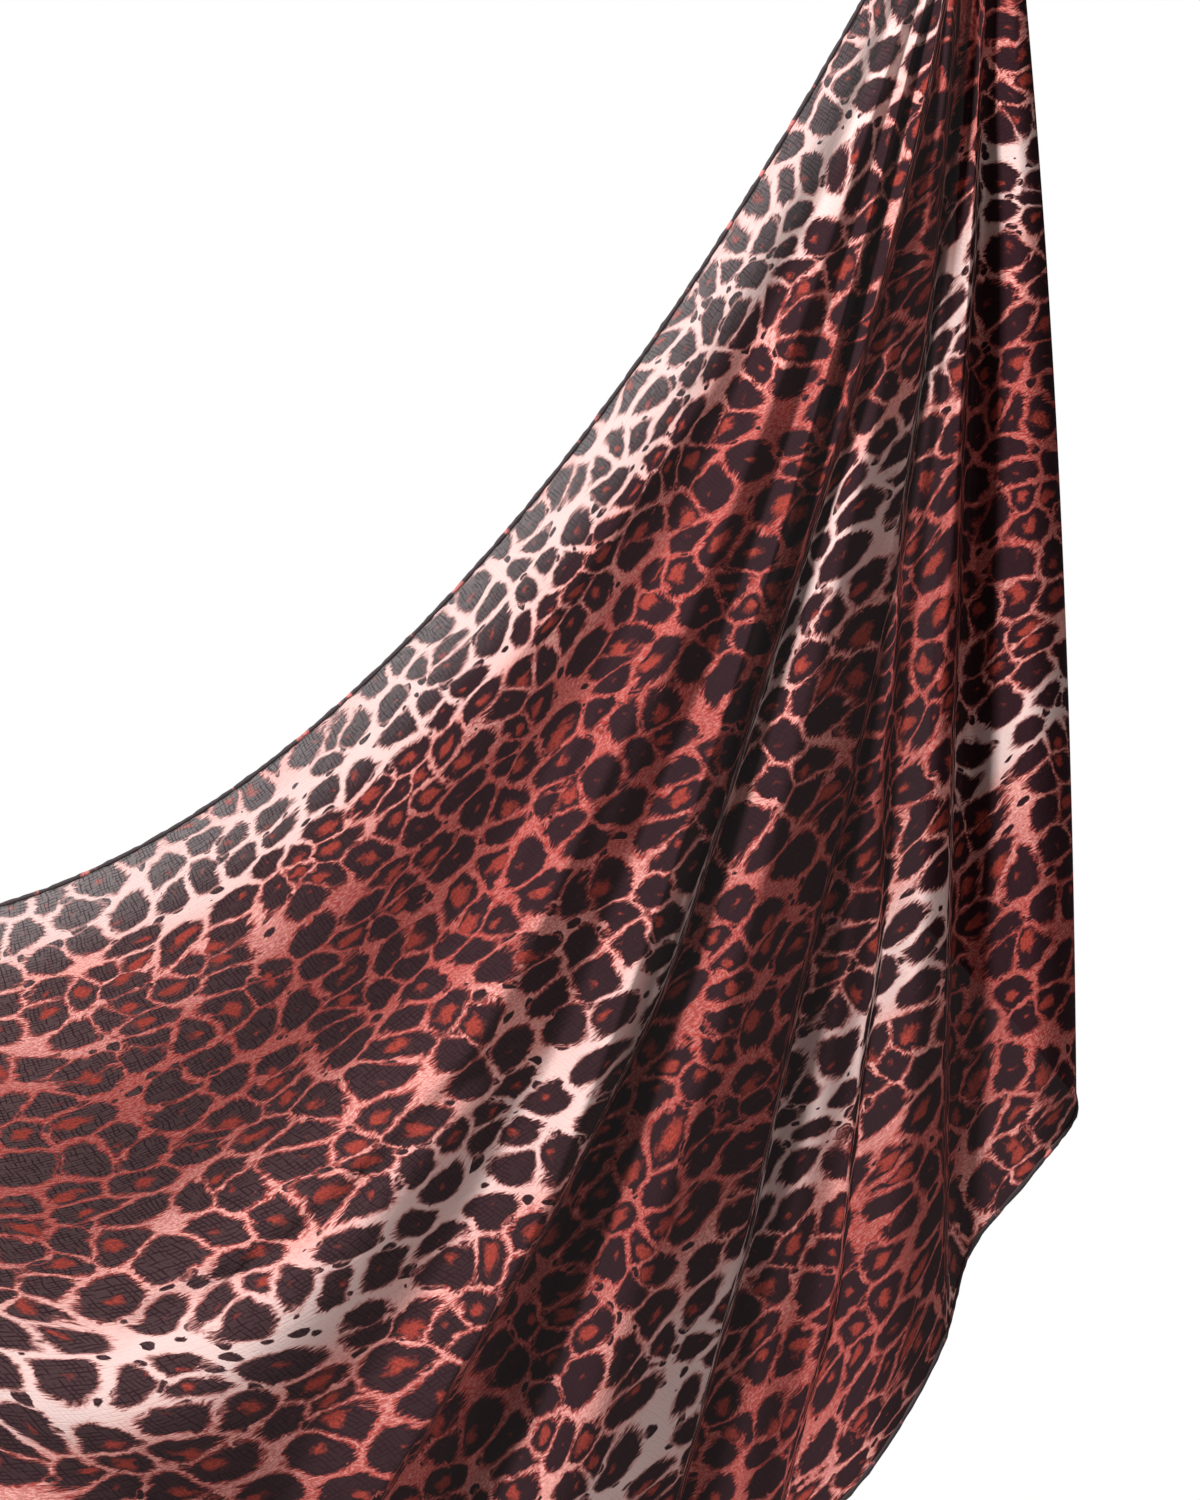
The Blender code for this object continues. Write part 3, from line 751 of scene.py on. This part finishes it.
def net_colour(g, px, py, grain, inside, cream, salmon):
    """The net between the spots, which is lighter in its middle and along the fur's strokes."""
    fur = g.add(g.streaks(px, py, FUR_SCALES, 3.0, 0.75), g.mul(grain, FUR_GRAIN))
    fur = g.ramp(fur, *FUR_NOISE)
    heart = g.ramp(inside, *HEART)
    light = g.mul(heart, g.add(g.mul(salmon, HEART_IN_SALMON), HEART_LIGHT))
    light = g.add(light, g.mul(fur, g.add(g.mul(salmon, FUR_IN_SALMON), FUR_LIGHT)))
    net = g.mix(g.math("MINIMUM", light, 1.0), NET_RUST, NET_SALMON)
    return g.mix(g.mul(cream, g.add(g.mul(heart, CREAM_HEART), 1 - CREAM_HEART)), net, NET_CREAM)


def print_colour(g, u, v):
    """The animal print, and where it is dark: spots on a net that turns from rust to cream in bands."""
    cream, salmon = print_bands(g, u, v)
    place = print_cells(g, u, v)
    px, py = g.split(place)[:2]

    # Each cell's own random numbers, and where a point is in its cell
    near = g.spots(place, "F1")
    chance = g.split(near[1])
    fx, fy = g.split(g.vectors("SUBTRACT", place, near[2]))[:2]
    to_edge = g.mul(g.sub(g.spots(place, "F2")[0], near[0]), 0.5)

    # How far inside a spot a point is
    ragged = print_fray(g, px, py, fx)
    gap = g.add(g.mul(cream, NET_IN_CREAM), g.add(g.mul(chance[1], NET_BY_CHANCE), NET_HALF))
    gap = g.mul(gap, g.ramp(g.spots(near[2], "F2")[0], *CROWDED))
    size = g.add(g.mul(chance[0], SIZE_BY_CHANCE), g.sub(SPOT_SIZE, g.mul(cream, SIZE_IN_CREAM)))
    round_edge = g.mul(g.sub(size, near[0]), ROUND_SLOPE)
    inside = g.math("SMOOTH_MIN", g.sub(to_edge, gap), round_edge, ROUND_BLEND)
    inside = g.add(g.add(inside, SWELL), ragged)
    centre = print_centre(g, place, chance, fx, fy, to_edge, cream, ragged)

    # The same with the cuts, the grain and the dots
    cut = g.ramp(g.noise(place, CUT_SCALE, 1.0)[0], *CUT_NOISE)
    cut = g.mul(g.mul(cut, g.ramp(near[0], *CUT_FROM)), g.sub(1.0, cream))
    grain = g.streaks(px, py, GRAIN_SCALES, 2.0, 0.6)
    inside = g.add(g.sub(inside, g.mul(cut, CUT_DEPTH)), g.mul(grain, GRAIN_DEPTH))
    edge = print_dots(g, place, inside, ragged)
    dark = g.ramp(edge, -EDGE, EDGE)

    net = net_colour(g, px, py, grain, inside, cream, salmon)
    rust = g.mix(g.ramp(g.noise(place, RUST_SCALE, 2.0, 0.7)[0], *RUST_NOISE), CENTRE_DARK, CENTRE)
    colour = g.mix(dark, net, g.mix(centre, SPOT, rust))
    outer, inner = FRINGE_WIDE
    fringe = g.mul(g.ramp(edge, -outer, -inner), g.ramp(edge, outer, inner))
    return g.mix(g.mul(fringe, FRINGE_SHARE), colour, FRINGE), g.mul(dark, g.sub(1.0, centre))


def print_grooves(g, u, v):
    """The crinkle's grooves, along and across the cloth, which show in patches."""
    bend = g.mul(g.streaks(u, v, BEND_SCALES), THREAD_BEND)
    weft = g.math("SINE", g.mul(g.add(v, bend), 2 * np.pi / WEAVE))
    warp = g.math("SINE", g.mul(g.add(u, g.mul(bend, WARP_BEND)), 2 * np.pi / (WEAVE * WARP_SPACING)))
    shown = [g.mul(g.ramp(wave, *GROOVE), g.ramp(g.streaks(u, v, scales, 2.0, 0.6), *PATCH))
             for wave, scales in ((weft, WEFT_SCALES), (warp, WARP_SCALES))]
    return g.math("MAXIMUM", *shown)


THROUGH = 0.26           # the share of the light that the cloth lets through softly
OPEN_EVERYWHERE, OPEN_SHEER, OPEN_GAPS = 0.006, 0.04, 0.15       # and how much is seen through it
GAPS_IN_GROOVES = 0.8    # how much less of the gaps there is in a groove


def print_material():
    g = Graph("print")
    u, v = g.split(g.node("ShaderNodeUVMap", uv_map="cloth").outputs[0])[:2]
    sheer = g.node("ShaderNodeAttribute", attribute_name="thin").outputs["Fac"]
    colour, dark = print_colour(g, u, v)
    grooves = print_grooves(g, u, v)
    threads = g.sub(1.0, grooves)

    # Painted highlight on the dark threads: they are coloured grey where the cloth is sheer, for the light
    # through it, and at the left, where they catch the light
    grey = g.mul(g.mul(g.ramp(u, *HIGHLIGHT_ALONG), g.ramp(v, *HIGHLIGHT_DEEP)), HIGHLIGHT_LEFT)
    grey = g.add(g.add(g.mul(sheer, GREY_SHEER), grey), GREY_LEAST)
    colour = g.mix(g.mul(g.mul(threads, dark), grey), colour, SPOT_THREAD)

    # Relief: the crinkle and a finer crumple
    relief = g.add(g.mul(threads, 0.5), g.streaks(u, v, CRUMPLE_SCALES, 3.0, 0.6))
    bump = g.node("ShaderNodeBump", {"Height": relief, "Distance": 0.0006, "Strength": 0.5}).outputs[0]

    shown = g.node("ShaderNodeBsdfPrincipled", {"Base Color": colour, "Roughness": 0.85, "Normal": bump,
                                                "Sheen Weight": 0.02, "Sheen Roughness": 0.5,
                                                "Specular IOR Level": 0.08}).outputs[0]
    through = g.node("ShaderNodeBsdfTranslucent", {"Color": colour, "Normal": bump}).outputs[0]
    cloth = g.node("ShaderNodeMixShader", {0: THROUGH, 1: shown, 2: through}).outputs[0]

    # Sheerness: most near the long edge, where the cloth is a single layer
    gaps = g.sub(1.0, g.mul(grooves, GAPS_IN_GROOVES))
    open_weave = g.add(g.mul(sheer, g.add(g.mul(gaps, OPEN_GAPS), OPEN_SHEER)), OPEN_EVERYWHERE)
    clear = g.node("ShaderNodeBsdfTransparent").outputs[0]
    seen = g.node("ShaderNodeMixShader", {0: open_weave, 1: cloth, 2: clear}).outputs[0]
    g.node("ShaderNodeOutputMaterial", {"Surface": seen})
    return g.material


HEM_PATCHES = 55.0       # the scale, along the hem, of its red stretches
RED_NOISE = (0.60, 0.70)
TWIST_SCALES = (900.0, 500.0)
TWIST_SHARE = 0.12       # how much the twist frays the stretches


def hem_material():
    g = Graph("hem")
    u, v = g.split(g.node("ShaderNodeUVMap", uv_map="cloth").outputs[0])[:2]
    patches = g.noise(g.vector(g.mul(u, HEM_PATCHES), 0.0), 1.0, 2.0, 0.6)[0]
    twist = g.streaks(u, v, TWIST_SCALES)
    colour = g.mix(g.ramp(g.add(patches, g.mul(twist, TWIST_SHARE)), *RED_NOISE), HEM_DARK, HEM_RED)
    bump = g.node("ShaderNodeBump", {"Height": twist, "Distance": 0.0004, "Strength": 0.6}).outputs[0]
    shown = g.node("ShaderNodeBsdfPrincipled", {"Base Color": colour, "Roughness": 0.8, "Normal": bump,
                                                "Sheen Weight": 0.1}).outputs[0]
    g.node("ShaderNodeOutputMaterial", {"Surface": shown})
    return g.material


# The photo's frame: how much of the scarf's plane it shows, and the place at its middle
FRAME_HIGH = 0.8595
FRAME_MIDDLE = (-0.2149, -0.5272)
CAMERA_AWAY = 4.0
SENSOR = 36.0            # millimetres

# The studio
FLOOR_Z = -1.45
FLOOR_CORNERS = ((-3, -2), (2, -2), (2, 2), (-3, 2))
PAPER = (0.90, 0.90, 0.90, 1)
WHITE = (1, 1, 1, 1)
BACKDROP = 1.0           # how bright the world is to the camera
SOFT_LIGHT = 0.12        # and to the cloth
LIGHTS = (               # name, place, target, size and power
    ("key", (-1.35, -1.3, 1.05), (-0.25, 0, -0.3), 0.55, 122),
    ("fill", (1.1, -3.0, 1.3), (-0.25, 0, -0.3), 2.0, 16),
)


def place_camera():
    data = bpy.data.cameras.new("Camera")
    data.sensor_fit = "VERTICAL"
    data.sensor_height = SENSOR
    data.lens = SENSOR * CAMERA_AWAY / FRAME_HIGH
    camera = bpy.data.objects.new("Camera", data)
    camera.location = (FRAME_MIDDLE[0], -CAMERA_AWAY, FRAME_MIDDLE[1])
    camera.rotation_euler = (np.pi / 2, 0, 0)
    bpy.context.scene.collection.objects.link(camera)
    bpy.context.scene.camera = camera


def place_light(name, place, target, size, power):
    data = bpy.data.lights.new(name, "AREA")
    data.size = size
    data.energy = power
    light = bpy.data.objects.new(name, data)
    light.location = place
    x, y, z = np.array(place) - np.array(target)
    light.rotation_euler = (np.arctan2(np.hypot(x, y), z), 0, np.arctan2(x, -y))
    bpy.context.scene.collection.objects.link(light)


def place_floor():
    floor = make_mesh("floor", [(x, y, FLOOR_Z) for x, y in FLOOR_CORNERS], [(0, 1, 2, 3)])
    paper = bpy.data.materials.new("paper")
    paper.use_nodes = True
    shader = paper.node_tree.nodes["Principled BSDF"]
    shader.inputs["Base Color"].default_value = PAPER
    shader.inputs["Roughness"].default_value = 0.9
    floor.data.materials.append(paper)


def place_world():
    """White behind the object, with softer light on it."""
    world = bpy.data.worlds.new("studio")
    world.use_nodes = True
    tree = world.node_tree
    back = tree.nodes["Background"]
    soft = tree.nodes.new("ShaderNodeBackground")
    for node, strength in ((back, BACKDROP), (soft, SOFT_LIGHT)):
        node.inputs["Color"].default_value = WHITE
        node.inputs["Strength"].default_value = strength
    path = tree.nodes.new("ShaderNodeLightPath")
    mix = tree.nodes.new("ShaderNodeMixShader")
    tree.links.new(path.outputs["Is Camera Ray"], mix.inputs[0])
    tree.links.new(soft.outputs[0], mix.inputs[1])
    tree.links.new(back.outputs[0], mix.inputs[2])
    tree.links.new(mix.outputs[0], tree.nodes["World Output"].inputs["Surface"])
    bpy.context.scene.world = world


scarf, edges = build_cloth()
hem = build_hem(edges)
scarf.data.materials.append(print_material())
hem.data.materials.append(hem_material())
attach(scarf, "root")
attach(hem, "root")
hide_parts("swag", "right_pleats", "right_return", "left_pleats", "left_return")
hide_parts("top_hem", "bottom_hem", "right_end_hem", "left_end_hem")
place_camera()
place_floor()
place_world()
for settings in LIGHTS:
    place_light(*settings)
bpy.context.scene.view_settings.view_transform = "Standard"
